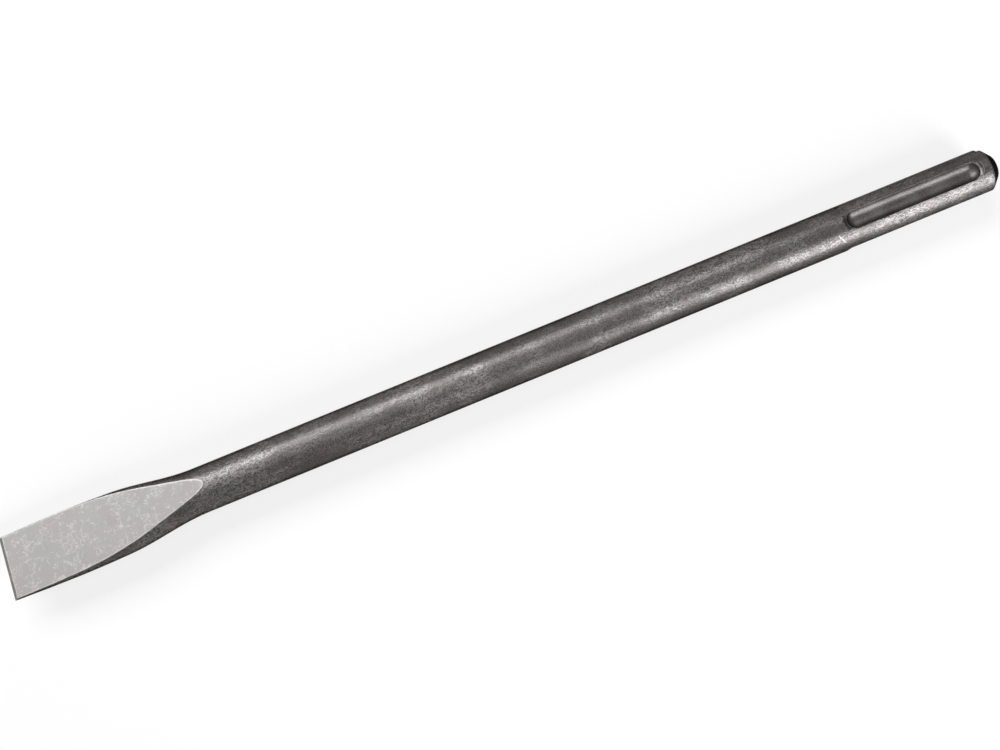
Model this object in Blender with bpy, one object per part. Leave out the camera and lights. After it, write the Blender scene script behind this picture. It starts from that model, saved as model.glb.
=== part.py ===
"""Flat chisel for a demolition hammer, forged in one piece with a slotted hammer shank.

Units are metres and +Z is up. The chisel lies along X on the plane z = 0, cutting edge
towards -X, as it comes to rest: on its bar, rolled over until the edge of one flat all but
touches the ground. The origin is the centre of its footprint.
"""
import math

import bmesh
import bpy

# Bar and overall size
BAR_DIAMETER = 0.018
OVERALL_LENGTH = 0.414

# Blade: a wedge with rounded sides that the bar is forged out to
BLADE_WIDTH = 0.0258
SIDE_BULGE = 0.0003
BLADE_LENGTH = 0.0437
FLARE_LENGTH = 0.0365
EDGE_END_HEIGHT = 0.0074
THICKENING_LENGTH = 0.0280
SIDE_SQUARENESS = 0.25
SQUARE_SIDES_LENGTH = 0.0360
SQUARE_FADE_LENGTH = 0.0140

# Ground flats, slightly hollow along their length, and the cutting edge
TIP_THICKNESS = 0.0019
FLAT_START_ANGLE = math.radians(3.1)
FLAT_HOLLOW_RADIUS = 1.010
EDGE_THICKNESS = 0.0003
EDGE_BEVEL_LENGTH = 0.0015

# Shank: turned about the bar from the flats of the blade
SHANK_TURN = math.radians(7.5)

# Two closed locking grooves, ball-nosed, with a shallow step around each mouth
GROOVE_RADIUS = 0.0039
GROOVE_DEPTH = 0.00335
GROOVE_RUN = 0.0483
GROOVE_FROM_END = 0.0121
MOUTH_RADIUS = 0.0051
MOUTH_DEPTH = 0.0005

# Three open driving slots, milled by a disc and open at the struck end, turned from the upper groove
SLOT_DEPTH = 0.0024
SLOT_START = 0.0658
SLOT_DISC_RADIUS = 0.030
SINGLE_SLOT_WIDTH = 0.0060
PAIR_SLOT_WIDTH = 0.0044
SINGLE_SLOT_TURN = math.radians(99.5)
PAIR_MIDDLE_TURN = math.radians(-90.0)
PAIR_HALF_ANGLE = math.radians(22.0)

# Struck end
STRUCK_FACE_DIAMETER = 0.0106
END_CHAMFER_LENGTH = 0.0037
END_ROUNDING = 0.0007

# How the chisel lies: rolled to just short of the lower edge of a flat touching the ground
LYING_SHORT_BY = math.radians(0.4)

# Fineness of the faceted surfaces
BAR_SIDES = 36
FLARE_STATIONS = 14
BLADE_STATIONS = 8
ARC_STEPS = 10
FLAT_STEPS = 16
GROOVE_SIDES = 40
CUTTER_MARGIN = 0.003

BAR_RADIUS = BAR_DIAMETER / 2
EDGE_X = -OVERALL_LENGTH / 2
END_X = OVERALL_LENGTH / 2
STEEL_COLOUR = (0.17, 0.16, 0.155, 1.0)
STEEL_ROUGHNESS = 0.42


def clear_scene():
    """Remove every object, so the script can be run again."""
    for old in list(bpy.data.objects):
        bpy.data.objects.remove(old, do_unlink=True)


def smooth_step(value):
    """Rise from 0 to 1 with level ends."""
    value = min(max(value, 0.0), 1.0)
    return value * value * (3.0 - 2.0 * value)


def steel():
    """Forged steel, worn to grey."""
    material = bpy.data.materials.new("forged_steel")
    material.use_nodes = True
    shader = material.node_tree.nodes["Principled BSDF"]
    shader.inputs["Base Color"].default_value = STEEL_COLOUR
    shader.inputs["Roughness"].default_value = STEEL_ROUGHNESS
    shader.inputs["Metallic"].default_value = 1.0
    return material


def finish(mesh_name, bm):
    """Turn a bmesh into a mesh whose faces point out."""
    bmesh.ops.recalc_face_normals(bm, faces=bm.faces)
    mesh = bpy.data.meshes.new(mesh_name)
    bm.to_mesh(mesh)
    bm.free()
    mesh.shade_smooth()
    mesh.set_sharp_from_angle(angle=math.radians(25.0))
    return mesh


def place(name, mesh, centre_line, turn=0.0):
    """Put a mesh on the centre line of the bar, turned about it."""
    thing = bpy.data.objects.new(name, mesh)
    bpy.context.collection.objects.link(thing)
    thing.parent = centre_line
    thing.rotation_euler = (turn, 0.0, 0.0)
    return thing


def half_width(back):
    """Half the width at a distance back from the cutting edge."""
    if back < BLADE_LENGTH:
        return BLADE_WIDTH / 2 + SIDE_BULGE * math.sin(math.pi * back / BLADE_LENGTH)
    narrowing = (1.0 - math.cos(math.pi * min((back - BLADE_LENGTH) / FLARE_LENGTH, 1.0))) / 2
    return BLADE_WIDTH / 2 + (BAR_RADIUS - BLADE_WIDTH / 2) * narrowing


def half_height(back):
    """Half the height of the forging, before its flats are ground."""
    rise = min(back / THICKENING_LENGTH, 1.0)
    return EDGE_END_HEIGHT / 2 + (BAR_RADIUS - EDGE_END_HEIGHT / 2) * rise


def flat_height(back):
    """Height of the ground flat over the centre line: an arc that hollows it slightly."""
    along = back + FLAT_HOLLOW_RADIUS * math.sin(FLAT_START_ANGLE)
    drop = math.sqrt(FLAT_HOLLOW_RADIUS ** 2 - along ** 2)
    return TIP_THICKNESS / 2 + FLAT_HOLLOW_RADIUS * math.cos(FLAT_START_ANGLE) - drop


def section_power(back):
    """Power of the section's outline: 2 is an ellipse, more is squarer."""
    return 2.0 + SIDE_SQUARENESS * (1.0 - smooth_step((back - SQUARE_SIDES_LENGTH) / SQUARE_FADE_LENGTH))


def lying_turn():
    """Roll from level flats to where the lower edge of a flat comes to the ground."""
    turns = []
    for back in forging_stations():
        up = flat_height(back)
        power = section_power(back)
        squeeze = max(1.0 - (up / half_height(back)) ** power, 0.0)
        out = half_width(back) * squeeze ** (1.0 / power)
        reach = math.hypot(out, up)
        if reach > BAR_RADIUS:
            turns.append(math.atan2(out, up) - math.acos(BAR_RADIUS / reach))
    return max(min(turns, default=0.0) - LYING_SHORT_BY, 0.0)


def section(bm, x, width, height, power):
    """Add one closed section of the forging, with facets that are level where it lies."""
    corner_reach = 1.0 / math.cos(math.pi / BAR_SIDES)
    first = lying_turn()
    ring = []
    for index in range(BAR_SIDES):
        angle = first + 2.0 * math.pi * (index + 0.5) / BAR_SIDES
        across = math.copysign(abs(math.cos(angle)) ** (2.0 / power), math.cos(angle))
        upward = math.copysign(abs(math.sin(angle)) ** (2.0 / power), math.sin(angle))
        ring.append(bm.verts.new((x, width * corner_reach * across, height * corner_reach * upward)))
    return [bm.edges.new((ring[i - 1], ring[i])) for i in range(BAR_SIDES)]


def forging_stations():
    """Distances back from the cutting edge at which the forging has a section."""
    blade = [BLADE_LENGTH * i / BLADE_STATIONS for i in range(BLADE_STATIONS)]
    flare = [BLADE_LENGTH + FLARE_LENGTH * i / FLARE_STATIONS for i in range(FLARE_STATIONS + 1)]
    return blade + flare


def end_profile():
    """Places and radii of the chamfered, softly rounded struck end."""
    face_radius = STRUCK_FACE_DIAMETER / 2
    fall = (BAR_RADIUS - face_radius) / END_CHAMFER_LENGTH
    start_x = END_X - END_CHAMFER_LENGTH
    return [
        (start_x - END_ROUNDING, BAR_RADIUS),
        (start_x + END_ROUNDING / 2, BAR_RADIUS - END_ROUNDING * fall * 0.62),
        (END_X - END_ROUNDING, face_radius + END_ROUNDING * fall),
        (END_X, face_radius),
    ]


def forging(centre_line):
    """The bar with its forged blade, lofted through its sections."""
    bm = bmesh.new()
    loops = []
    for back in forging_stations():
        loops.append(section(bm, EDGE_X + back, half_width(back), half_height(back), section_power(back)))
    for x, radius in end_profile():
        loops.append(section(bm, x, radius, radius, 2.0))
    for front, rear in zip(loops, loops[1:]):
        bmesh.ops.bridge_loops(bm, edges=front + rear)
    for loop in (loops[0], loops[-1]):
        bmesh.ops.contextual_create(bm, geom=loop)
    chisel = place("flat_chisel", finish("flat_chisel", bm), centre_line)
    chisel.data.materials.append(steel())
    return chisel


def extruded(outline, depth):
    """A prism: a closed outline moved along the vector depth."""
    bm = bmesh.new()
    base = bm.faces.new([bm.verts.new(point) for point in outline])
    grown = bmesh.ops.extrude_face_region(bm, geom=[base])
    moved = [item for item in grown["geom"] if isinstance(item, bmesh.types.BMVert)]
    bmesh.ops.translate(bm, verts=moved, vec=depth)
    return bm


def ball_nosed(start_x, end_x, radius, height):
    """The path of a ball-nosed mill along X, with its centre at a height."""
    bm = bmesh.new()
    profile = []
    for step in range(ARC_STEPS + 1):
        angle = math.pi / 2 * step / ARC_STEPS
        profile.append((start_x - radius * math.cos(angle), radius * math.sin(angle)))
    profile += [(start_x + end_x - x, r) for x, r in reversed(profile)]
    verts = [bm.verts.new((x, 0.0, r)) for x, r in profile]
    edges = [bm.edges.new(pair) for pair in zip(verts, verts[1:])]
    bmesh.ops.spin(bm, geom=verts + edges, axis=(1, 0, 0), cent=(0, 0, 0),
                   steps=GROOVE_SIDES, angle=2.0 * math.pi, use_merge=True)
    bmesh.ops.remove_doubles(bm, verts=bm.verts, dist=1e-6)
    bmesh.ops.translate(bm, verts=bm.verts, vec=(0, 0, height))
    return bm


def groove_mouth(start_x, end_x):
    """A shallow oblong step around the mouth of a closed groove."""
    outline = []
    for centre_x, first in ((start_x, math.pi / 2), (end_x, -math.pi / 2)):
        for step in range(2 * ARC_STEPS + 1):
            angle = first + math.pi * step / (2 * ARC_STEPS)
            outline.append((centre_x + MOUTH_RADIUS * math.cos(angle), MOUTH_RADIUS * math.sin(angle),
                            BAR_RADIUS - MOUTH_DEPTH))
    return extruded(outline, (0, 0, MOUTH_DEPTH + CUTTER_MARGIN))


def driving_slot(width):
    """The path of a milling disc that runs out of the bar at the front of the slot."""
    floor = BAR_RADIUS - SLOT_DEPTH
    rise = SLOT_DEPTH + CUTTER_MARGIN / 10
    reach = math.sqrt(SLOT_DISC_RADIUS ** 2 - (SLOT_DISC_RADIUS - SLOT_DEPTH) ** 2)
    disc_x = END_X - SLOT_START + reach
    sweep = math.acos(1.0 - rise / SLOT_DISC_RADIUS)
    outline = [(END_X + CUTTER_MARGIN, -width / 2, floor)]
    for step in range(ARC_STEPS + 1):
        angle = sweep * step / ARC_STEPS
        outline.append((disc_x - SLOT_DISC_RADIUS * math.sin(angle), -width / 2,
                        floor + SLOT_DISC_RADIUS * (1.0 - math.cos(angle))))
    outline.append((outline[-1][0], -width / 2, BAR_RADIUS + CUTTER_MARGIN))
    outline.append((END_X + CUTTER_MARGIN, -width / 2, BAR_RADIUS + CUTTER_MARGIN))
    return extruded(outline, (0, width, 0))


def flat_grinding():
    """The space above one flat: the cutting bevel, then the hollow arc up and out of the bar."""
    reach = BLADE_WIDTH / 2 + SIDE_BULGE + CUTTER_MARGIN
    centre_up = TIP_THICKNESS / 2 + FLAT_HOLLOW_RADIUS * math.cos(FLAT_START_ANGLE)
    out_of_bar = BAR_RADIUS + CUTTER_MARGIN
    out_back = (math.sqrt(FLAT_HOLLOW_RADIUS ** 2 - (centre_up - out_of_bar) ** 2)
                - FLAT_HOLLOW_RADIUS * math.sin(FLAT_START_ANGLE))
    profile = [(-CUTTER_MARGIN, EDGE_THICKNESS / 2), (0.0, EDGE_THICKNESS / 2)]
    for step in range(FLAT_STEPS + 1):
        back = EDGE_BEVEL_LENGTH + (out_back - EDGE_BEVEL_LENGTH) * step / FLAT_STEPS
        profile.append((back, flat_height(back)))
    profile.append((-CUTTER_MARGIN, out_of_bar))
    outline = [(EDGE_X + back, -reach, up) for back, up in profile]
    return extruded(outline, (0, 2 * reach, 0))


def cut(chisel, centre_line, name, bm, turn=0.0):
    """Cut a shape, turned about the centre line, out of the chisel."""
    cutter = place(name, finish(name, bm), centre_line, turn)
    cutter.hide_render = True
    cutter.display_type = "WIRE"
    difference = chisel.modifiers.new(name, "BOOLEAN")
    difference.operation = "DIFFERENCE"
    difference.solver = "EXACT"
    difference.object = cutter


def grind_blade(chisel, centre_line):
    """Grind the two flats and the cutting edge."""
    cut(chisel, centre_line, "upper_flat_cut", flat_grinding())
    cut(chisel, centre_line, "lower_flat_cut", flat_grinding(), math.pi)


def mill_shank(chisel, centre_line):
    """Mill the closed grooves and the open slots of the shank."""
    groove_rear = END_X - GROOVE_FROM_END
    groove_front = groove_rear - GROOVE_RUN
    mill_height = BAR_RADIUS - GROOVE_DEPTH + GROOVE_RADIUS
    for name, turn in (("upper_groove", 0.0), ("lower_groove", math.pi)):
        groove = ball_nosed(groove_front, groove_rear, GROOVE_RADIUS, mill_height)
        cut(chisel, centre_line, name + "_cut", groove, SHANK_TURN + turn)
        mouth = groove_mouth(groove_front, groove_rear)
        cut(chisel, centre_line, name + "_mouth_cut", mouth, SHANK_TURN + turn)
    single = driving_slot(SINGLE_SLOT_WIDTH)
    cut(chisel, centre_line, "single_slot_cut", single, SHANK_TURN + SINGLE_SLOT_TURN)
    for name, side in (("upper_pair_slot", 1), ("lower_pair_slot", -1)):
        turn = PAIR_MIDDLE_TURN + side * PAIR_HALF_ANGLE
        cut(chisel, centre_line, name + "_cut", driving_slot(PAIR_SLOT_WIDTH), SHANK_TURN + turn)


def build():
    """Forge, grind and mill the chisel."""
    clear_scene()
    centre_line = bpy.data.objects.new("centre_line", None)
    centre_line.location = (0.0, 0.0, BAR_RADIUS)
    centre_line.rotation_euler = (-lying_turn(), 0.0, 0.0)
    bpy.context.collection.objects.link(centre_line)
    chisel = forging(centre_line)
    grind_blade(chisel, centre_line)
    mill_shank(chisel, centre_line)


build()
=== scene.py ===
"""Dresses the forged flat chisel: a finely modelled body over the fixed frame, its steel finishes,
a pale floor, soft studio lamps and the camera.

All lengths are metres. The chisel lies along X with its cutting edge towards -X.
"""

import logging
import math
from dataclasses import asdict, dataclass, field
from enum import Enum
from typing import ClassVar

import bmesh
import bpy
from bmesh.types import BMEdge, BMesh, BMVert
from bpy.types import Node, NodeSocket as Socket, NodeTree, Object
from mathutils import Matrix, Quaternion, Vector, kdtree


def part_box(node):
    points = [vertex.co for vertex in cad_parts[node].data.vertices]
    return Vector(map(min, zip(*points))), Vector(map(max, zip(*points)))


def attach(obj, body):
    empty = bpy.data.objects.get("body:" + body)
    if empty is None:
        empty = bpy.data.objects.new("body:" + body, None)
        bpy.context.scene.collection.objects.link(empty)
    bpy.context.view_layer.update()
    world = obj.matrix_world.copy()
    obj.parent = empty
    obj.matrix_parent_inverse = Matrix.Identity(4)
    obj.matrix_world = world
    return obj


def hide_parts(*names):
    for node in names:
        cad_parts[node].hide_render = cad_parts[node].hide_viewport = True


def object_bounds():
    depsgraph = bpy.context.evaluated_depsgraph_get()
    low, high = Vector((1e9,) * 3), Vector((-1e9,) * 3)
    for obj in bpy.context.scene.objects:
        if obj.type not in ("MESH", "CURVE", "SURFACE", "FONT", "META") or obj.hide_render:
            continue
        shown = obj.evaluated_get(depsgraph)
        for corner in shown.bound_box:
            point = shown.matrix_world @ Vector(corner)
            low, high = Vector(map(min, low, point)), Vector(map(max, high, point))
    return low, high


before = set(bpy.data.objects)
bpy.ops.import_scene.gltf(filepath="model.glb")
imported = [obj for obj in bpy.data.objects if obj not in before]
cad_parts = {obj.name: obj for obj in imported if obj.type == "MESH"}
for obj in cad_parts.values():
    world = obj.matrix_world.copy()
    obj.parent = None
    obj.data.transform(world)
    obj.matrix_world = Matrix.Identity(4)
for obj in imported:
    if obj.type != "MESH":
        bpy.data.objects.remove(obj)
CAD_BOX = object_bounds()

log = logging.getLogger("flat_chisel")

Colour = tuple[float, float, float, float]
Span = tuple[float, float]
Pair = tuple[float, float]
Point = tuple[float, float, float]

MILLIMETRE = 0.001
SAME_PLACE = 1e-6
WHITE = (1.0, 1.0, 1.0, 1.0)
SHADER = "Principled BSDF"


class Gauge(Enum):
    """What is measured over the piece, in millimetres, for its finishes to follow."""

    FLAT_INSET = "flat_inset"
    LIP = "lip_distance"
    NOOK = "nook_distance"


def smooth_step(value: float, low: float = 0.0, high: float = 1.0) -> float:
    """Rise from 0 at low to 1 at high, with level ends."""
    share = min(max((value - low) / (high - low), 0.0), 1.0)
    return share * share * (3.0 - 2.0 * share)


def shifted(span: Span, by: float) -> Span:
    """A span, shifted by a distance."""
    return by + span[0], by + span[1]


def softer_min(one: float, other: float, width: float) -> float:
    """The lower of two heights, with a corner of some width between them worn round."""
    share = max(width - abs(one - other), 0.0) / width
    return min(one, other) - share * share * width / 4.0


def along_x(edge: BMEdge) -> float:
    """How far an edge runs along X."""
    return abs(edge.verts[0].co.x - edge.verts[1].co.x)


def evenly(start: float, end: float, count: int) -> list[float]:
    """Evenly spaced places after a start, up to an end."""
    return [start + (end - start) * step / count for step in range(1, count + 1)]


def new_mesh_object(name: str, bm: BMesh) -> Object:
    """Make an object of a bmesh and free it.

    Args:
        name: The object's name.
        bm: The finished bmesh.

    Returns:
        The new object, linked to the scene.
    """
    mesh = bpy.data.meshes.new(name)
    bm.to_mesh(mesh)
    bm.free()
    thing = bpy.data.objects.new(name, mesh)
    bpy.context.scene.collection.objects.link(thing)
    return thing


@dataclass
class Wedge:
    """The forged wedge: its outline, its thickness and its two hollow-ground flats."""

    width: float = 0.02567
    side_bulge: float = 0.0003
    length: float = 0.0437
    flare: float = 0.0365
    edge_height: float = 0.0074
    thickening: float = 0.0280
    squareness: float = 0.25
    square_length: float = 0.0360
    square_fade: float = 0.0140
    tip: float = 0.0019
    flat_angle: float = math.radians(3.1)
    hollow: float = 1.010
    edge_thickness: float = 0.0003
    edge_bevel: float = 0.0015
    worn_corner: float = 0.00035
    bar_radius: float = 0.0090
    halvings: int = 40
    lying_steps: int = 160
    lying_slack: float = math.radians(0.4)

    def half_width(self, back: float) -> float:
        """Half the width at a distance back from the cutting edge.

        Args:
            back: Distance from the cutting edge.

        Returns:
            Half the width of the forging there.
        """
        if back < self.length:
            return self.width / 2 + self.side_bulge * math.sin(math.pi * back / self.length)
        narrowing = (1.0 - math.cos(math.pi * min((back - self.length) / self.flare, 1.0))) / 2
        return self.width / 2 + (self.bar_radius - self.width / 2) * narrowing

    def half_height(self, back: float) -> float:
        """Half the height of the forging, at a distance back and before its flats are ground."""
        rise = min(back / self.thickening, 1.0)
        return self.edge_height / 2 + (self.bar_radius - self.edge_height / 2) * rise

    def flat_height(self, back: float) -> float:
        """Height of a flat over the centre line: the edge bevel, then the hollow arc.

        Args:
            back: Distance from the cutting edge.

        Returns:
            Height of the ground flat there.
        """
        along = max(back, self.edge_bevel) + self.hollow * math.sin(self.flat_angle)
        drop = math.sqrt(self.hollow ** 2 - along ** 2)
        flat = self.tip / 2 + self.hollow * math.cos(self.flat_angle) - drop
        if back >= self.edge_bevel:
            return flat
        return self.edge_thickness / 2 + (flat - self.edge_thickness / 2) * back / self.edge_bevel

    def power(self, back: float) -> float:
        """Power of the section's outline: 2 is an ellipse and more is squarer."""
        round_from = self.square_length + self.square_fade
        return 2.0 + self.squareness * (1.0 - smooth_step(back, self.square_length, round_from))

    def flat_half_width(self, back: float) -> float:
        """Half the width of the ground flat.

        Args:
            back: Distance from the cutting edge.

        Returns:
            Half the width of the flat there, 0 behind it.
        """
        power = self.power(back)
        squeeze = max(1.0 - (self.flat_height(back) / self.half_height(back)) ** power, 0.0)
        return self.half_width(back) * squeeze ** (1.0 / power)

    def flat_length(self) -> float:
        """Distance from the cutting edge to where the flats run out of the bar.

        Returns:
            Their length.
        """
        low, high = self.edge_bevel, 2.0 * (self.length + self.flare)
        for _ in range(self.halvings):
            middle = (low + high) / 2
            inside = self.flat_height(middle) < self.half_height(middle)
            low, high = (middle, high) if inside else (low, middle)
        return low

    def lying_turn(self) -> float:
        """Roll at which the lower edge of a flat all but touches the ground.

        Returns:
            The roll of the lying chisel, in radians.
        """
        turns = []
        for step in range(self.lying_steps + 1):
            back = (self.length + self.flare) * step / self.lying_steps
            out, up = self.flat_half_width(back), self.flat_height(back)
            reach = math.hypot(out, up)
            if reach > self.bar_radius:
                turns.append(math.atan2(out, up) - math.acos(self.bar_radius / reach))
        return min(turns) - self.lying_slack


@dataclass
class Shank:
    """The slotted rear of the bar: two closed grooves, three open slots and the struck end.

    A corner of the struck end is a row of how far along and how far off its radius, in roundings.
    """

    bar_radius: float = 0.0090
    turn: float = math.radians(7.5)
    groove_radius: float = 0.0039
    groove_depth: float = 0.00335
    groove_run: float = 0.0483
    groove_from_end: float = 0.0121
    mouth_radius: float = 0.0051
    mouth_depth: float = 0.0005
    slot_depth: float = 0.0024
    slot_start: float = 0.0658
    disc_radius: float = 0.030
    single_width: float = 0.0060
    pair_width: float = 0.0044
    single_turn: float = math.radians(99.5)
    pair_turn: float = math.radians(-90.0)
    pair_half: float = math.radians(22.0)
    struck_radius: float = 0.0053
    chamfer: float = 0.0037
    rounding: float = 0.0007
    outer_corner: tuple[Pair, ...] = ((-1.0, 0.0), (-0.25, 0.12), (0.5, 0.62), (1.5, 1.56))
    inner_corner: tuple[Pair, ...] = ((1.3, 1.25), (0.5, 0.42), (0.1, 0.02))
    struck_rings: Pair = (0.35, 1.4)
    chamfer_swell: float = 0.52
    margin: float = 0.003
    arc_overrun: float = 0.00075
    arc_steps: int = 20
    round_sides: int = 96
    groove_cells: int = 60
    slot_cells: int = 70
    slot_strips: int = 9
    long_edge: float = 0.02

    def end_profile(self, end_x: float) -> list[Pair]:
        """The outline of the chamfered struck end.

        Args:
            end_x: Where the struck face is.

        Returns:
            Pairs of place along X and radius.
        """
        fall = (self.bar_radius - self.struck_radius) / self.chamfer
        start_x = end_x - self.chamfer
        soft = self.rounding
        profile = [(start_x + soft * along, self.bar_radius - soft * fall * off)
                   for along, off in self.outer_corner]
        profile.append((start_x + self.chamfer / 2,
                        self.bar_radius - fall * self.chamfer * self.chamfer_swell))
        profile += [(end_x - soft * along, self.struck_radius + soft * fall * off)
                    for along, off in self.inner_corner]
        return profile + [(end_x, self.struck_radius - soft * inward) for inward in self.struck_rings]

    def ball_nosed(self, start_x: float, end_x: float) -> BMesh:
        """The path of the ball-nosed mill that cuts a closed groove.

        Args:
            start_x: Centre of the mill at the front.
            end_x: Centre of the mill at the rear.

        Returns:
            The swept path.
        """
        bm = bmesh.new()
        bmesh.ops.create_uvsphere(bm, u_segments=self.round_sides, v_segments=self.round_sides // 2,
                                  radius=self.groove_radius,
                                  matrix=Matrix.Rotation(math.pi / 2, 4, "Y"))
        bmesh.ops.bisect_plane(bm, geom=bm.verts[:] + bm.edges[:] + bm.faces[:], dist=SAME_PLACE,
                               plane_co=(0, 0, 0), plane_no=(1, 0, 0))
        for vert in bm.verts:
            vert.co.x += end_x if vert.co.x > SAME_PLACE else start_x
        rails = [edge for edge in bm.edges if along_x(edge) > self.long_edge]
        bmesh.ops.subdivide_edges(bm, edges=rails, cuts=self.groove_cells, use_grid_fill=True)
        bmesh.ops.translate(bm, verts=bm.verts,
                            vec=(0, 0, self.bar_radius - self.groove_depth + self.groove_radius))
        return bm

    def groove_mouth(self, start_x: float, end_x: float) -> BMesh:
        """The shallow oblong step around the mouth of a closed groove.

        Args:
            start_x: Centre of the front end.
            end_x: Centre of the rear end.

        Returns:
            The space that the step takes.
        """
        bm = bmesh.new()
        depth = self.mouth_depth + self.margin
        bmesh.ops.create_cone(bm, cap_ends=True, segments=self.round_sides,
                              radius1=self.mouth_radius, radius2=self.mouth_radius, depth=depth)
        for vert in bm.verts:
            vert.co.x += end_x if vert.co.x > 0 else start_x
        bmesh.ops.translate(bm, verts=bm.verts,
                            vec=(0, 0, self.bar_radius - self.mouth_depth + depth / 2))
        return bm

    def driving_slot(self, width: float, end_x: float) -> BMesh:
        """The path of the milling disc that cuts an open slot.

        Args:
            width: Width of the slot.
            end_x: Where the struck face is.

        Returns:
            The space that the slot takes.
        """
        bm = bmesh.new()
        reach = math.sqrt(self.disc_radius ** 2 - (self.disc_radius - self.slot_depth) ** 2)
        disc_x = end_x - self.slot_start + reach
        sweep = math.acos(1.0 - (self.slot_depth + self.arc_overrun) / self.disc_radius)
        floor = self.bar_radius - self.slot_depth
        start = bm.verts.new((disc_x, -width / 2, floor))
        arc = bmesh.ops.spin(bm, geom=[start], axis=(0, 1, 0), angle=sweep,
                             cent=(disc_x, -width / 2, floor + self.disc_radius),
                             steps=self.arc_steps, use_merge=False)
        last = next(item for item in arc["geom_last"] if isinstance(item, BMVert))
        if last.co.x > disc_x:
            for vert in bm.verts:
                vert.co.x = 2 * disc_x - vert.co.x
        beyond, above = end_x + self.margin, self.bar_radius + self.margin
        corners = [(last.co.x, above), (beyond, above), (beyond, floor)]
        chain = [last] + [bm.verts.new((x, -width / 2, up)) for x, up in corners] + [start]
        for pair in zip(chain, chain[1:]):
            bm.edges.new(pair)
        base = bmesh.ops.contextual_create(bm, geom=bm.edges[:])["faces"]
        grown = bmesh.ops.extrude_face_region(bm, geom=base)
        moved = [item for item in grown["geom"] if isinstance(item, BMVert)]
        bmesh.ops.translate(bm, verts=moved, vec=(0, width, 0))
        rails = [edge for edge in bm.edges if along_x(edge) > self.long_edge]
        bmesh.ops.subdivide_edges(bm, edges=rails, cuts=self.slot_cells, use_grid_fill=True)
        rungs = [edge for edge in bm.edges
                 if abs(edge.verts[0].co.y - edge.verts[1].co.y) > width / 2]
        bmesh.ops.subdivide_edges(bm, edges=rungs, cuts=self.slot_strips, use_grid_fill=True)
        return bm

    def cuts(self, end_x: float) -> list[tuple[BMesh, float]]:
        """Every space that is milled out of the bar, with its turn about the bar.

        Args:
            end_x: Where the struck face is.

        Returns:
            Pairs of bmesh and turn.
        """
        rear = end_x - self.groove_from_end
        front = rear - self.groove_run
        made = [(groove(front, rear), turn) for turn in (0.0, math.pi)
                for groove in (self.ball_nosed, self.groove_mouth)]
        slots = [(self.single_width, self.single_turn),
                 (self.pair_width, self.pair_turn + self.pair_half),
                 (self.pair_width, self.pair_turn - self.pair_half)]
        return made + [(self.driving_slot(width, end_x), turn) for width, turn in slots]


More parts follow.
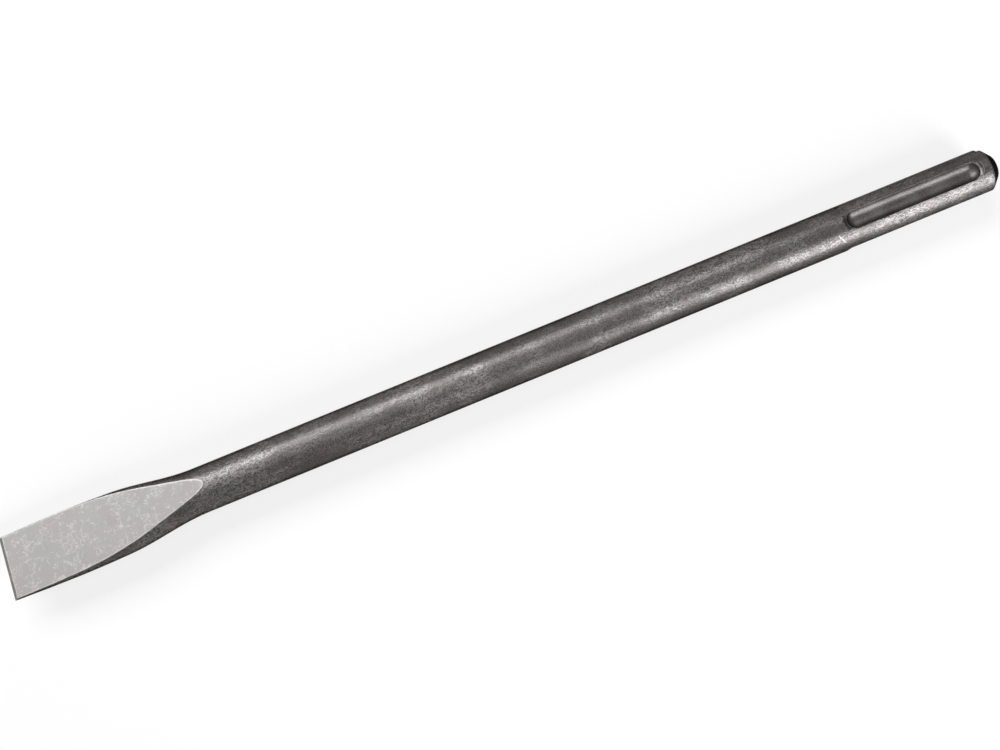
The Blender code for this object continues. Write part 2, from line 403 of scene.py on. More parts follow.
@dataclass
class Chisel:
    """The whole chisel in one piece of steel, from its cutting edge to its struck end."""

    edge_x: float
    end_x: float
    wedge: Wedge = field(default_factory=Wedge)
    shank: Shank = field(default_factory=Shank)
    flat_segments: int = 36
    side_segments: int = 40
    blade_rings: int = 72
    tip_rings: int = 40
    bar_rings: int = 90
    shank_rings: int = 130
    edge_rings: tuple[float, ...] = (0.0, 0.0001, 0.0005, 0.0010)
    bevel_rings: float = 0.0001
    blade_start: float = 0.0020
    tongue: float = 0.012
    shank_lead: float = 0.004
    past_flats: float = 0.004
    least_flat: float = 0.0010
    bar_flat: float = 0.62
    bar_flat_reach: float = 0.05
    corner_crowding: float = 1.6
    side_crowding: float = 0.75
    outline_steps: int = 900
    lip_angle: float = math.radians(24.0)
    lip_spacing: float = 0.15
    gauge_reach: float = 3.0

    def ring_places(self) -> list[float]:
        """Distances back from the cutting edge at which the body has a ring.

        Returns:
            The distances, from the edge to where the struck end begins.
        """
        wedge = self.wedge
        run_out = wedge.flat_length()
        blade_end = run_out - self.tongue
        places = [*self.edge_rings, wedge.edge_bevel - self.bevel_rings,
                  wedge.edge_bevel + self.bevel_rings, self.blade_start]
        places += evenly(self.blade_start, blade_end, self.blade_rings)
        for step in range(1, self.tip_rings + 1):
            share = 1.0 - (1.0 - step / self.tip_rings) ** 2
            places.append(blade_end + (run_out - blade_end) * share)
        length = self.end_x - self.edge_x
        shank_start = length - self.shank.slot_start - self.shank_lead
        end_start = length - self.shank.chamfer - self.shank.rounding
        places += evenly(run_out, shank_start, self.bar_rings)
        places += evenly(shank_start, end_start, self.shank_rings)[:-1]
        return places

    def section(self, back: float) -> list[Pair]:
        """One ring of the forging, with the flats ground and their corners worn.

        Args:
            back: Distance from the cutting edge.

        Returns:
            Across and up, for each point of the ring.
        """
        wedge = self.wedge
        run_out = wedge.flat_length()
        half_w, half_h, power = wedge.half_width(back), wedge.half_height(back), wedge.power(back)
        on_blade = back < run_out + self.past_flats
        flat = wedge.flat_height(back) if on_blade else half_h + wedge.worn_corner
        spread = smooth_step(back, run_out, run_out + self.bar_flat_reach)
        least = self.least_flat + (wedge.bar_radius * self.bar_flat - self.least_flat) * spread
        chord = max(wedge.flat_half_width(back), least)
        corner = math.acos(min((chord / half_w) ** (power / 2.0), 1.0))
        angles = []
        for step in range(self.side_segments):
            share = step / self.side_segments
            eased = share - self.side_crowding * math.sin(2.0 * math.pi * share) / (2.0 * math.pi)
            angles.append(-corner + 2.0 * corner * eased)
        right = [(half_w * abs(math.cos(angle)) ** (2.0 / power),
                  half_h * math.copysign(abs(math.sin(angle)) ** (2.0 / power), math.sin(angle)))
                 for angle in angles]
        top = []
        for step in range(self.flat_segments):
            share = 1.0 - 2.0 * step / self.flat_segments
            across = chord * math.copysign(1.0 - (1.0 - abs(share)) ** self.corner_crowding, share)
            rest = max(1.0 - abs(across / half_w) ** power, 0.0)
            top.append((across, half_h * rest ** (1.0 / power)))
        half = right + top
        points = []
        for across, up in half + [(-a, -u) for a, u in half]:
            points.append((across, math.copysign(softer_min(abs(up), flat, wedge.worn_corner), up)))
        return points

    def forge(self) -> BMesh:
        """Loft the bar with its blade and its struck end.

        Returns:
            The closed body, with the centre line of the bar on X.
        """
        bm = bmesh.new()
        sides = 2 * (self.flat_segments + self.side_segments)
        loops = []
        stations = [(self.edge_x + back, 1.0, self.section(back)) for back in self.ring_places()]
        bar_section = self.section(self.end_x - self.edge_x)
        stations += [(x, radius / self.wedge.bar_radius, bar_section)
                     for x, radius in self.shank.end_profile(self.end_x)]
        for x, scale, points in stations:
            circle = bmesh.ops.create_circle(bm, cap_ends=False, segments=sides,
                                             radius=self.wedge.bar_radius)
            for vert, (across, up) in zip(circle["verts"], points):
                vert.co = (x, across * scale, up * scale)
            loops.append(list({edge for vert in circle["verts"] for edge in vert.link_edges}))
        for front, rear in zip(loops, loops[1:]):
            bmesh.ops.bridge_loops(bm, edges=front + rear)
        for loop in (loops[0], loops[-1]):
            bmesh.ops.contextual_create(bm, geom=loop)
        bmesh.ops.recalc_face_normals(bm, faces=bm.faces)
        return bm

    def mill(self, body: Object) -> None:
        """Cut the grooves and the slots out of the body.

        Args:
            body: The lofted body, with its centre line on X.
        """
        cutters = []
        for number, (bm, turn) in enumerate(self.shank.cuts(self.end_x)):
            bmesh.ops.recalc_face_normals(bm, faces=bm.faces)
            bmesh.ops.rotate(bm, verts=bm.verts, cent=(0, 0, 0),
                             matrix=Matrix.Rotation(self.shank.turn + turn, 3, "X"))
            cutter = new_mesh_object(f"cutter_{number}", bm)
            difference = body.modifiers.new(cutter.name, "BOOLEAN")
            difference.operation = "DIFFERENCE"
            difference.solver = "EXACT"
            difference.object = cutter
            cutters.append(cutter)
        depsgraph = bpy.context.evaluated_depsgraph_get()
        milled_mesh = bpy.data.meshes.new_from_object(body.evaluated_get(depsgraph))
        body.modifiers.clear()
        body.data = milled_mesh
        for cutter in cutters:
            bpy.data.objects.remove(cutter, do_unlink=True)

    def flat_outline(self) -> kdtree.KDTree:
        """The outline of both flats, as closely spaced points.

        Returns:
            A tree of the points, for finding the nearest one.
        """
        wedge = self.wedge
        run_out, steps = wedge.flat_length(), self.outline_steps
        tree = kdtree.KDTree(4 * (steps + 1))
        for step in range(steps + 1):
            back = run_out * (1.0 - (1.0 - step / steps) ** 2)
            out, up = wedge.flat_half_width(back), wedge.flat_height(back)
            for number, (side, lid) in enumerate(((1, 1), (1, -1), (-1, 1), (-1, -1))):
                tree.insert((self.edge_x + back, side * out, lid * up), 4 * step + number)
        tree.balance()
        return tree

    def sharp_edges(self, bm: BMesh, inward: bool, from_x: float) -> kdtree.KDTree:
        """The sharp edges of the shank, as closely spaced points.

        Args:
            bm: The milled body.
            inward: True for corners that point in, False for lips.
            from_x: Only edges behind this place are taken.

        Returns:
            A tree of the points, for finding the nearest one.
        """
        points = []
        for edge in bm.edges:
            start, end = (vert.co for vert in edge.verts)
            angle = edge.calc_face_angle_signed(0.0)
            if min(start.x, end.x) < from_x or (-angle if inward else angle) < self.lip_angle:
                continue
            steps = max(int(edge.calc_length() / (self.lip_spacing * MILLIMETRE)), 1)
            points += [start.lerp(end, step / steps) for step in range(steps + 1)]
        tree = kdtree.KDTree(len(points))
        for number, point in enumerate(points):
            tree.insert(point, number)
        tree.balance()
        return tree

    def gauge(self, body: Object) -> None:
        """Measure how far each point is inside a flat, from a lip and from a nook.

        Args:
            body: The milled body, with its centre line on X.
        """
        bm = bmesh.new()
        bm.from_mesh(body.data)
        bmesh.ops.triangulate(bm, faces=[face for face in bm.faces if len(face.verts) > 4])
        layers = {kind: bm.verts.layers.float.new(kind.value) for kind in Gauge}
        outline = self.flat_outline()
        shank_x = self.end_x - self.shank.slot_start - self.shank_lead
        lips = self.sharp_edges(bm, False, shank_x)
        nooks = self.sharp_edges(bm, True, shank_x)
        run_out, reach = self.wedge.flat_length(), self.gauge_reach
        for vert in bm.verts:
            back = vert.co.x - self.edge_x
            inset, lip, nook = -reach, reach, reach
            if back < run_out + reach * MILLIMETRE:
                inset = min(outline.find(vert.co)[2] / MILLIMETRE, reach)
                inside = back < run_out and abs(vert.co.y) < self.wedge.flat_half_width(back)
                inset = inset if inside else -inset
            if vert.co.x > shank_x - reach * MILLIMETRE:
                lip = min(lips.find(vert.co)[2] / MILLIMETRE, reach)
                nook = min(nooks.find(vert.co)[2] / MILLIMETRE, reach)
            for kind, value in zip(Gauge, (inset, lip, nook)):
                vert[layers[kind]] = value
        bm.to_mesh(body.data)
        bm.free()

    def lay_down(self, body: Object) -> None:
        """Roll the body to how it lies and set it on the ground."""
        body.data.transform(Matrix.Rotation(-self.wedge.lying_turn(), 4, "X"))
        body.data.transform(Matrix.Translation((0, 0, self.wedge.bar_radius)))

    def build(self) -> None:
        """Forge, mill and dress the chisel, at rest in the frame."""
        body = new_mesh_object("forged_flat_chisel", self.forge())
        self.mill(body)
        self.gauge(body)
        self.lay_down(body)
        body.data.shade_smooth()
        material = bpy.data.materials.new("forged_steel")
        material.use_nodes = True
        Steel(material.node_tree, self).dress()
        body.data.materials.append(material)
        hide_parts("flat_chisel")
        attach(body, "root")
        log.info("%s: %d faces", body.name, len(body.data.polygons))


@dataclass(frozen=True)
class Noise:
    """Settings of a noise: scale per metre, octaves, weight of the fine ones and twist."""

    scale: float
    detail: float
    roughness: float
    distortion: float = 0.0


@dataclass
class NodeSheet:
    """A node tree with short ways to add the nodes that the finishes use."""

    tree: NodeTree
    noise_middle: ClassVar[float] = 0.5
    line_core: ClassVar[float] = 0.25

    def join(self, source, socket: Socket) -> None:
        """Link an output to a socket, or set the socket to a plain value.

        Args:
            source: An output socket, a number or a colour.
            socket: The input socket.
        """
        if isinstance(source, Socket):
            self.tree.links.new(source, socket)
        else:
            socket.default_value = source

    def fill(self, node: Node, inputs: dict) -> Node:
        """Join or set some inputs of a node.

        Args:
            node: The node.
            inputs: What goes into each, by its name or number.

        Returns:
            The same node.
        """
        for name, source in inputs.items():
            self.join(source, node.inputs[name])
        return node

    def add(self, kind: str, inputs: dict | None = None) -> Node:
        """Add a node of a kind and fill some of its inputs."""
        return self.fill(self.tree.nodes.new(kind), inputs or {})

    def math(self, operation: str, one, other=0.0) -> Socket:
        """Combine two values.

        Args:
            operation: Blender's name of the operation.
            one: First value.
            other: Second value.

        Returns:
            The result.
        """
        node = self.add("ShaderNodeMath", {0: one, 1: other})
        node.operation = operation
        return node.outputs[0]

    def times(self, one, other) -> Socket:
        """Two values multiplied."""
        return self.math("MULTIPLY", one, other)

    def plus(self, one, other) -> Socket:
        """Two values added."""
        return self.math("ADD", one, other)

    def less(self, one, other) -> Socket:
        """The first value less the second."""
        return self.math("SUBTRACT", one, other)

    def lower(self, one, other) -> Socket:
        """The lower of two values."""
        return self.math("MINIMUM", one, other)

    def higher(self, one, other) -> Socket:
        """The higher of two values."""
        return self.math("MAXIMUM", one, other)

    def apart(self, one, other) -> Socket:
        """How far two values are apart."""
        return self.math("ABSOLUTE", self.less(one, other))

    def blend(self, one, other, share: float) -> Socket:
        """Two values blended, with a share of the second."""
        return self.plus(self.times(one, 1.0 - share), self.times(other, share))

    def between(self, share, low: float, high: float) -> Socket:
        """A value that goes from low to high as a share rises from 0 to 1."""
        return self.plus(self.times(share, high - low), low)

    def ramp(self, value, low: float, high: float) -> Socket:
        """Spread a range of a value smoothly over 0 to 1.

        Args:
            value: The value.
            low: What becomes 0.
            high: What becomes 1.

        Returns:
            The spread value.
        """
        node = self.add("ShaderNodeMapRange", {"Value": value, "From Min": low, "From Max": high})
        node.interpolation_type = "SMOOTHSTEP"
        return node.outputs["Result"]

    def fall(self, value, low: float, high: float) -> Socket:
        """Fall smoothly from 1 at a low value to 0 at a high one."""
        return self.less(1.0, self.ramp(value, low, high))

    def mix(self, share, one, other) -> Socket:
        """Mix two colours.

        Args:
            share: How much of the second.
            one: First colour.
            other: Second colour.

        Returns:
            The mixed colour.
        """
        node = self.add("ShaderNodeMix", {"Factor": share})
        node.data_type = "RGBA"
        colours = (socket for socket in node.inputs if socket.type == "RGBA")
        for source, socket in zip((one, other), colours):
            self.join(source, socket)
        return next(socket for socket in node.outputs if socket.type == "RGBA")

    def gauge(self, kind: Gauge) -> Socket:
        """Read one of the piece's own gauges.

        Args:
            kind: Which gauge.

        Returns:
            Its value, in millimetres.
        """
        node = self.add("ShaderNodeAttribute")
        node.attribute_name = kind.value
        return node.outputs["Fac"]

    def seen(self) -> Socket:
        """1 for what is looked at, straight or in a reflection, and 0 for what only gives light."""
        rays = self.add("ShaderNodeLightPath").outputs
        return self.higher(rays["Is Camera Ray"],
                           self.higher(rays["Is Glossy Ray"], rays["Is Transmission Ray"]))

    def split(self, vector: Socket) -> tuple[Socket, ...]:
        """The X, Y and Z of a vector."""
        return tuple(self.add("ShaderNodeSeparateXYZ", {"Vector": vector}).outputs)

    def stretch(self, vector: Socket, scale: Point) -> Socket:
        """Scale a vector along X, Y and Z, so that a pattern is drawn out."""
        return self.add("ShaderNodeMapping", {"Vector": vector, "Scale": scale}).outputs["Vector"]

    def vector_math(self, operation: str, one, other, output: str = "Vector") -> Socket:
        """Combine two vectors.

        Args:
            operation: Blender's name of the operation.
            one: First vector.
            other: Second vector.
            output: "Vector" or "Value", whichever the operation gives.

        Returns:
            The result.
        """
        node = self.add("ShaderNodeVectorMath", {0: one, 1: other})
        node.operation = operation
        return node.outputs[output]

    def noise(self, vector: Socket, kind: Noise) -> Socket:
        """A noise, read at a vector."""
        settings = {name.capitalize(): value for name, value in asdict(kind).items()}
        return self.add("ShaderNodeTexNoise", {"Vector": vector, **settings}).outputs["Fac"]

    def bend(self, vector: Socket, kind: Noise, reach: float) -> Socket:
        """Shift a vector about by a noise, so that straight lines drawn on it wander.

        Args:
            vector: The vector output.
            kind: The noise.
            reach: How far it shifts, in metres.

        Returns:
            The shifted vector.
        """
        shifts = self.noise(vector, kind).node.outputs["Color"]
        off = self.vector_math("SUBTRACT", shifts, (self.noise_middle,) * 3)
        return self.vector_math("ADD", vector, self.vector_math("MULTIPLY", off, (reach,) * 3))

    def cracks(self, vector: Socket, scale: float, width: float) -> Socket:
        """Draw a net of lines of one width.

        Args:
            vector: Where it is read.
            scale: The net's meshes per metre.
            width: How far a line reaches to each side, in metres.

        Returns:
            1 on a line and 0 off it.
        """
        node = self.add("ShaderNodeTexVoronoi", {"Vector": vector, "Scale": scale})
        node.feature = "DISTANCE_TO_EDGE"
        return self.fall(node.outputs["Distance"], width * scale * self.line_core, width * scale)

    def contours(self, noise: Socket, width: float) -> Socket:
        """Thin wandering lines where a noise is within a width of its middle value."""
        return self.fall(self.apart(noise, self.noise_middle), width * self.line_core, width)

    def from_segment(self, place: Socket, start: Vector, end: Vector) -> Socket:
        """Distance from a straight piece of line.

        Args:
            place: Where it is measured.
            start: Where the piece starts.
            end: Where it ends.

        Returns:
            The distance.
        """
        run = end - start
        off = self.vector_math("SUBTRACT", place, start)
        share = self.vector_math("DOT_PRODUCT", off, run / run.length_squared, "Value")
        share = self.lower(self.higher(share, 0.0), 1.0)
        along = self.add("ShaderNodeCombineXYZ",
                         {axis: self.times(share, run[axis]) for axis in range(3)})
        return self.vector_math("DISTANCE", off, along.outputs["Vector"], "Value")


@dataclass(frozen=True)
class ScratchNet:
    """A net of scratches that shows only in patches."""

    scale: float
    width: float
    patches: Noise
    spread: Span

    def draw(self, sheet: NodeSheet, bent: Socket, place: Socket) -> Socket:
        """The scratches: lines on bent coordinates, patches on plain ones."""
        lines = sheet.cracks(bent, self.scale, self.width)
        return sheet.times(lines, sheet.ramp(sheet.noise(place, self.patches), *self.spread))


@dataclass(frozen=True)
class PatternPlan:
    """Settings of the patterns that the finishes share."""

    grain: Noise = Noise(2600.0, 3.0, 0.66)
    pitting: Noise = Noise(1150.0, 4.0, 0.68)
    cloud: Noise = Noise(150.0, 4.0, 0.58)
    drift: Noise = Noise(95.0, 3.0, 0.5)
    drift_stretch: Point = (1.0, 1.2, 0.8)
    wander: Noise = Noise(700.0, 3.0, 0.6)
    wander_reach: float = 0.0034
    long_scratches: ScratchNet = ScratchNet(230.0, 0.00014, Noise(380.0, 3.0, 0.6), (0.48, 0.57))
    short_scratches: ScratchNet = ScratchNet(620.0, 0.00012, Noise(210.0, 3.0, 0.6), (0.49, 0.60))
    scuffs: Noise = Noise(760.0, 2.0, 0.6, 1.2)
    scuff_width: float = 0.070
    scuff_stretch: Point = (0.55, 1.0, 1.0)
    scuff_patches: Noise = Noise(90.0, 3.0, 0.6)
    scuff_spread: Span = (0.34, 0.60)


@dataclass(frozen=True)
class ForgedSkin:
    """The dark blasted skin of the forging: fine speckle, brown clouds and pale scuffs."""

    dark: Colour = (0.054, 0.050, 0.049, 1.0)
    pale: Colour = (0.152, 0.144, 0.141, 1.0)
    speckle: Span = (0.36, 0.68)
    brown: Colour = (0.114, 0.096, 0.092, 1.0)
    brown_spread: Span = (0.46, 0.66)
    brown_share: float = 0.40
    scuff: Colour = (0.262, 0.254, 0.251, 1.0)
    scuff_share: float = 0.70
    roughness: float = 0.36


@dataclass(frozen=True)
class GroundFace:
    """The pale ground flats: faint pink and green clouds and fine bright scratches."""

    grey: Colour = (0.258, 0.253, 0.251, 1.0)
    pink: Colour = (0.268, 0.252, 0.249, 1.0)
    pink_spread: Span = (0.44, 0.60)
    green: Colour = (0.251, 0.253, 0.247, 1.0)
    green_spread: Span = (0.50, 0.66)
    scratch: Colour = (0.420, 0.414, 0.410, 1.0)
    scratch_shares: Span = (0.75, 1.0)
    glint_spread: Span = (0.42, 0.72)
    glint_share: float = 0.12
    roughness: float = 0.56


@dataclass(frozen=True)
class MilledSteel:
    """The smoother steel of the milled grooves and slots, and the painted shade in them."""

    dark: Colour = (0.078, 0.073, 0.071, 1.0)
    pale: Colour = (0.168, 0.160, 0.157, 1.0)
    grain_share: float = 0.65
    speckle: Span = (0.38, 0.62)
    # Near-black colour of the painted shade in the cuts' nooks and at the grooves' fronts.
    grime: Colour = (0.012, 0.011, 0.010, 1.0)
    roughness: float = 0.44


@dataclass(frozen=True)
class Gouge:
    """The long bright scratch across the bar, just before the shank's grooves."""

    from_end: tuple[float, ...] = (0.0694, 0.0685, 0.0672)
    degrees: tuple[float, ...] = (-30.5, -41.7, -55.0)
    pieces: int = 2
    width: Span = (0.00003, 0.00018)
    breaks: Span = (0.26, 0.50)
    share: float = 0.5

    def points(self, chisel: Chisel) -> list[Vector]:
        """Points along the scratch, on the surface of the lying bar.

        Args:
            chisel: The chisel, for its sizes and its roll.

        Returns:
            The points, from the top of the bar down its near side.
        """
        radius, roll = chisel.wedge.bar_radius, chisel.wedge.lying_turn()
        points = []
        for step in range((len(self.degrees) - 1) * self.pieces + 1):
            number = min(step // self.pieces, len(self.degrees) - 2)
            share = step / self.pieces - number
            degrees, from_end = (row[number] + (row[number + 1] - row[number]) * share
                                 for row in (self.degrees, self.from_end))
            turn = math.radians(degrees) + roll
            points.append(Vector((chisel.end_x - from_end, radius * math.sin(turn),
                                  radius * (1.0 + math.cos(turn)))))
        return points


@dataclass
class Steel(NodeSheet):
    """The node tree of the chisel's steel, with each finish where it belongs.

    A span says where a ramp starts and ends: in millimetres on a gauge, in metres on a place, and
    from 0 to 1 on a pattern. A share says how much of something shows.
    """

    chisel: Chisel
    plan: PatternPlan = PatternPlan()
    skin: ForgedSkin = ForgedSkin()
    face: GroundFace = GroundFace()
    milled: MilledSteel = MilledSteel()
    gouge: Gouge = Gouge()
    # Near-white: the gouge's scratch, and the edge lines that are partly wear and partly painted
    # highlight.
    worn: Colour = (0.74, 0.73, 0.72, 1.0)
    # Painted shade: near-black colour over the struck end's chamfer.
    end: Colour = (0.030, 0.028, 0.027, 1.0)
    grazing_tint: Colour = (0.14, 0.135, 0.13, 1.0)
    flat_edge: Span = (-0.06, 0.10)
    rim_reach: Span = (0.3, 3.0)
    # Edge lines: partly wear, partly painted highlight along the flats' rims, the edge's bevel and
    # the cuts' lips.
    rim_line_inset: float = 0.20
    rim_line_width: Span = (0.12, 0.38)
    rim_line_spread: Span = (0.36, 0.58)
    rim_line_shares: Span = (0.20, 0.42)
    bevel_line_width: Span = (0.0001, 0.0004)
    bevel_line_share: float = 0.6
    lip_width: Span = (0.02, 0.20)
    lip_spread: Span = (0.34, 0.52)
    lip_share: float = 0.30
    worn_share: float = 0.75
    cut_depth: Span = (0.00004, 0.00014)
    cut_start: Span = (-0.002, -0.001)
    end_start: Span = (-0.0006, 0.0)
    # How much painted shade darkens the struck end's chamfer.
    end_share: float = 0.85
    # Painted shade: darkening in the nooks of the cuts and at the front of the closed grooves.
    nook_width: Span = (0.0, 0.5)
    nook_share: float = 0.7
    caked_front: Span = (-0.0034, 0.0002)
    caked_share: float = 0.45
    cloud_roughness: float = 0.08
    calm_share: float = 0.80
    scratch_relief: float = 0.05
    bump_strength: float = 0.80
    bump_distance: float = 0.00018

    def __post_init__(self) -> None:
        """Draw the patterns that the finishes share and find where each finish belongs."""
        plan, shank, end_x = self.plan, self.chisel.shank, self.chisel.end_x
        place = self.add("ShaderNodeTexCoord").outputs["Object"]
        self.place = place
        self.x, y, z = self.split(place)
        self.grain, self.pitting, self.cloud = (
            self.noise(place, kind) for kind in (plan.grain, plan.pitting, plan.cloud))
        self.drift = self.noise(self.stretch(place, plan.drift_stretch), plan.drift)
        drawn = self.stretch(place, plan.scuff_stretch)
        scuffs = self.contours(self.noise(drawn, plan.scuffs), plan.scuff_width)
        patches = self.ramp(self.noise(drawn, plan.scuff_patches), *plan.scuff_spread)
        self.scuffs = self.times(scuffs, patches)
        bent = self.bend(place, plan.wander, plan.wander_reach)
        self.scratches = self.higher(plan.long_scratches.draw(self, bent, place),
                                     plan.short_scratches.draw(self, bent, place))

        self.inset = self.gauge(Gauge.FLAT_INSET)
        self.on_flat = self.ramp(self.inset, *self.flat_edge)
        radius = self.chisel.wedge.bar_radius
        up = self.less(z, radius)
        reach = self.math("SQRT", self.plus(self.times(y, y), self.times(up, up)))
        cut = self.ramp(self.less(radius, reach), *self.cut_depth)
        cut = self.times(cut, self.ramp(self.x, *shifted(self.cut_start, end_x - shank.slot_start)))
        before_end = self.fall(self.x, *shifted(self.end_start, end_x - shank.chamfer))
        self.in_cut = self.times(cut, before_end)
        # Painted shade over the struck end's chamfer.
        self.at_end = self.times(self.less(1.0, before_end), self.end_share)

    def skin_colour(self) -> Socket:
        """Colour of the forging's skin.

        Returns:
            The colour output.
        """
        skin = self.skin
        colour = self.mix(self.ramp(self.grain, *skin.speckle), skin.dark, skin.pale)
        browned = self.times(self.ramp(self.cloud, *skin.brown_spread), skin.brown_share)
        colour = self.mix(browned, colour, skin.brown)
        return self.mix(self.times(self.scuffs, skin.scuff_share), colour, skin.scuff)

    def face_colour(self) -> Socket:
        """Colour of a ground flat, which is scratched most at its rim.

        Returns:
            The colour output.
        """
        face = self.face
        colour = self.mix(self.ramp(self.cloud, *face.pink_spread), face.grey, face.pink)
        colour = self.mix(self.ramp(self.drift, *face.green_spread), colour, face.green)
        glints = self.times(self.ramp(self.grain, *face.glint_spread), face.glint_share)
        colour = self.mix(glints, colour, face.scratch)
        rim = self.fall(self.inset, *self.rim_reach)
        lines = self.times(self.scratches, self.between(rim, *face.scratch_shares))
        return self.mix(lines, colour, face.scratch)

    def milled_colour(self) -> Socket:
        """Colour of a milled cut."""
        mottle = self.blend(self.cloud, self.grain, self.milled.grain_share)
        return self.mix(self.ramp(mottle, *self.milled.speckle), self.milled.dark, self.milled.pale)

    def worn_lines(self) -> Socket:
        """The bright lines along the flats' rims, the edge's bevel and the lips of the cuts: partly
        worn bare steel and partly painted highlight where these edges catch the light.

        Returns:
            How much of them shows.
        """
        off_line = self.apart(self.inset, self.rim_line_inset)
        rim_share = self.between(self.ramp(self.cloud, *self.rim_line_spread), *self.rim_line_shares)
        rim = self.times(self.fall(off_line, *self.rim_line_width), rim_share)
        from_edge = self.less(self.x, self.chisel.edge_x)
        bevel = self.fall(self.apart(from_edge, self.chisel.wedge.edge_bevel), *self.bevel_line_width)
        bevel = self.times(self.times(bevel, self.on_flat), self.bevel_line_share)
        lip = self.times(self.fall(self.gauge(Gauge.LIP), *self.lip_width), self.lip_share)
        lip = self.times(lip, self.ramp(self.cloud, *self.lip_spread))
        return self.times(self.higher(self.higher(rim, bevel), lip), self.worn_share)

    def gouge_line(self) -> Socket:
        """The long scratch across the bar, broken up by the grain.

        Returns:
            How much of it shows.
        """
        points = self.gouge.points(self.chisel)
        nearest = self.from_segment(self.place, points[0], points[1])
        for start, end in zip(points[1:], points[2:]):
            nearest = self.lower(nearest, self.from_segment(self.place, start, end))
        strength = self.times(self.ramp(self.grain, *self.gouge.breaks), self.gouge.share)
        return self.times(self.fall(nearest, *self.gouge.width), strength)

    def grime(self) -> Socket:
        """Painted shade in the nooks of the cuts and at the front of the closed grooves.

        Returns:
            How much of it shows.
        """
        shank = self.chisel.shank
        front = self.chisel.end_x - shank.groove_from_end - shank.groove_run
        front_shade = self.times(self.in_cut, self.fall(self.x, *shifted(self.caked_front, front)))
        nook = self.fall(self.gauge(Gauge.NOOK), *self.nook_width)
        return self.higher(self.times(front_shade, self.caked_share), self.times(nook, self.nook_share))

    def relief(self) -> Socket:
        """The fine relief: pitted skin, calmer ground and milled steel, and sunk scratches.

        Returns:
            The bent normal.
        """
        calm = self.less(1.0, self.times(self.higher(self.in_cut, self.on_flat), self.calm_share))
        sunk = self.times(self.scratches, self.times(self.on_flat, self.scratch_relief))
        height = self.less(self.times(self.pitting, calm), sunk)
        bump = {"Strength": self.bump_strength, "Distance": self.bump_distance, "Height": height}
        return self.add("ShaderNodeBump", bump).outputs["Normal"]

    def dress(self) -> None:
        """Lay the finishes, the painted highlights and the painted shade over each other and give
        them to the shader.
        """
        colour = self.mix(self.in_cut, self.skin_colour(), self.milled_colour())
        # Painted shade over the struck end's chamfer.
        colour = self.mix(self.at_end, colour, self.end)
        colour = self.mix(self.on_flat, colour, self.face_colour())
        # Edge lines: partly wear, partly painted highlight.
        colour = self.mix(self.worn_lines(), colour, self.worn)
        colour = self.mix(self.gouge_line(), colour, self.worn)
        # Painted shade in the nooks and at the grooves' fronts.
        colour = self.mix(self.grime(), colour, self.milled.grime)
        rough = self.between(self.on_flat, self.skin.roughness, self.face.roughness)
        smoothing = self.milled.roughness - self.skin.roughness
        rough = self.plus(rough, self.times(self.in_cut, smoothing))
        uneven = self.times(self.less(self.cloud, self.noise_middle), self.cloud_roughness)
        self.fill(self.tree.nodes[SHADER], {
            "Metallic": 1.0, "Specular Tint": self.grazing_tint, "Base Color": colour,
            "Roughness": self.plus(rough, uneven), "Normal": self.relief()})


@dataclass
class SoftLamp:
    """A large soft lamp that faces the chisel."""

    name: str
    toward: Point
    distance: float
    size: Pair
    radiance: float

    def build(self, centre: Vector) -> None:
        """Hang the lamp and aim it.

        Args:
            centre: What it is aimed at.
        """
        lamp = bpy.data.lights.new(self.name, "AREA")
        lamp.shape = "RECTANGLE"
        lamp.size, lamp.size_y = self.size
        lamp.energy = self.radiance * self.size[0] * self.size[1] * math.pi
        thing = bpy.data.objects.new(self.name, lamp)
        thing.visible_camera = False
        bpy.context.scene.collection.objects.link(thing)
        direction = Vector(self.toward).normalized()
        across = Vector((1, 0, 0))
        up = direction.cross(across).normalized()
        across = up.cross(direction).normalized()
        turned = Matrix((across, up, direction)).transposed().to_4x4()
        thing.matrix_world = Matrix.Translation(centre + direction * self.distance) @ turned
        log.info("%s hung %.2f m away", self.name, self.distance)


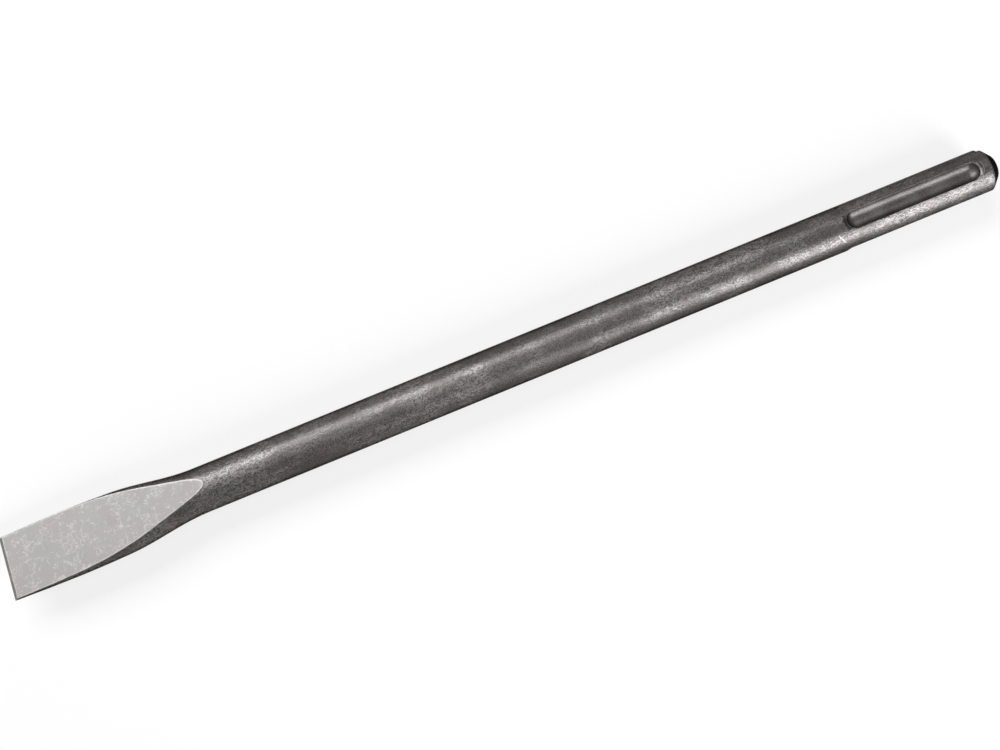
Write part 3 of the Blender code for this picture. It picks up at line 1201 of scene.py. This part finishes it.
@dataclass
class Studio:
    """The pale floor, the soft lamps, the even surroundings and the camera."""

    floor_half: float = 6.0
    floor_colour: Colour = (0.95, 0.95, 0.95, 1.0)
    surround: float = 0.04
    backdrop: float = 0.50
    shadow_depth: float = 0.30
    floor_gap: float = 0.00002
    floor_roughness: float = 0.9
    lens: float = 40.4
    sensor: float = 36.0
    clip: Span = (0.02, 50.0)
    eye: Point = (-0.01476, -0.12503, 0.41871)
    eye_turn: Point = (0.28597, 0.02932, -0.38913)

    def floor(self) -> None:
        """Lay the floor under the chisel."""
        bm = bmesh.new()
        bmesh.ops.create_grid(bm, x_segments=2, y_segments=2, size=self.floor_half)
        bmesh.ops.translate(bm, verts=bm.verts, vec=(0, 0, CAD_BOX[0].z - self.floor_gap))
        thing = new_mesh_object("floor", bm)
        material = bpy.data.materials.new("pale_floor")
        material.use_nodes = True
        sheet = NodeSheet(material.node_tree)
        floor = sheet.fill(sheet.tree.nodes[SHADER], {
            "Base Color": self.floor_colour, "Roughness": self.floor_roughness,
            "Specular IOR Level": 0.0})
        glow = sheet.add("ShaderNodeEmission", {"Color": WHITE, "Strength": 1.0})
        shown = sheet.times(sheet.seen(), 1.0 - self.shadow_depth)
        mixed = sheet.add("ShaderNodeMixShader", {0: shown, 1: floor.outputs[0], 2: glow.outputs[0]})
        sheet.fill(sheet.tree.nodes["Material Output"], {"Surface": mixed.outputs[0]})
        thing.data.materials.append(material)

    def surroundings(self) -> None:
        """Light everything evenly from all round."""
        world = bpy.data.worlds.new("surroundings")
        world.use_nodes = True
        sheet = NodeSheet(world.node_tree)
        strength = sheet.between(sheet.seen(), self.surround, self.backdrop)
        sheet.fill(sheet.tree.nodes["Background"], {"Color": WHITE, "Strength": strength})
        bpy.context.scene.world = world

    def lamps(self, centre: Vector) -> None:
        """Hang the soft lamps, aimed at a centre."""
        for lamp in (
                SoftLamp("lamp_far_side", (-0.25, 0.75, 0.67), 1.3, (1.26, 0.50), 7.7),
                SoftLamp("lamp_near_side", (0.50, -0.72, 0.52), 1.3, (0.66, 0.86), 8.8),
                SoftLamp("lamp_overhead", (-0.12, 0.12, 1.0), 1.5, (1.1, 0.66), 1.6)):
            lamp.build(centre)

    def camera(self, lying_turn: float, axis_height: float) -> None:
        """Set the camera at the photographed viewing angle.

        Args:
            lying_turn: Roll of the lying chisel.
            axis_height: Height of the bar's centre line.
        """
        data = bpy.data.cameras.new("camera")
        data.sensor_width = self.sensor
        data.lens = self.lens
        data.clip_start, data.clip_end = self.clip
        thing = bpy.data.objects.new("camera", data)
        bpy.context.scene.collection.objects.link(thing)
        turn = Vector(self.eye_turn)
        turned = Quaternion(turn, turn.length).to_matrix().to_4x4()
        level = Matrix.Translation(Vector(self.eye)) @ turned
        rolled = Matrix.Rotation(-lying_turn, 4, "X") @ level
        thing.matrix_world = Matrix.Translation((0, 0, axis_height)) @ rolled
        bpy.context.scene.camera = thing


def main() -> None:
    """Build the chisel and the studio and report each piece."""
    logging.basicConfig(level=logging.INFO, format="%(name)s: %(message)s")
    bpy.context.scene.view_settings.view_transform = "Standard"
    front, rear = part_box("flat_chisel")
    chisel = Chisel(front.x, rear.x)
    chisel.build()
    studio = Studio()
    low, high = CAD_BOX
    studio.floor()
    studio.surroundings()
    studio.lamps((low + high) / 2)
    studio.camera(chisel.wedge.lying_turn(), chisel.wedge.bar_radius)


if __name__ == "__main__":
    main()
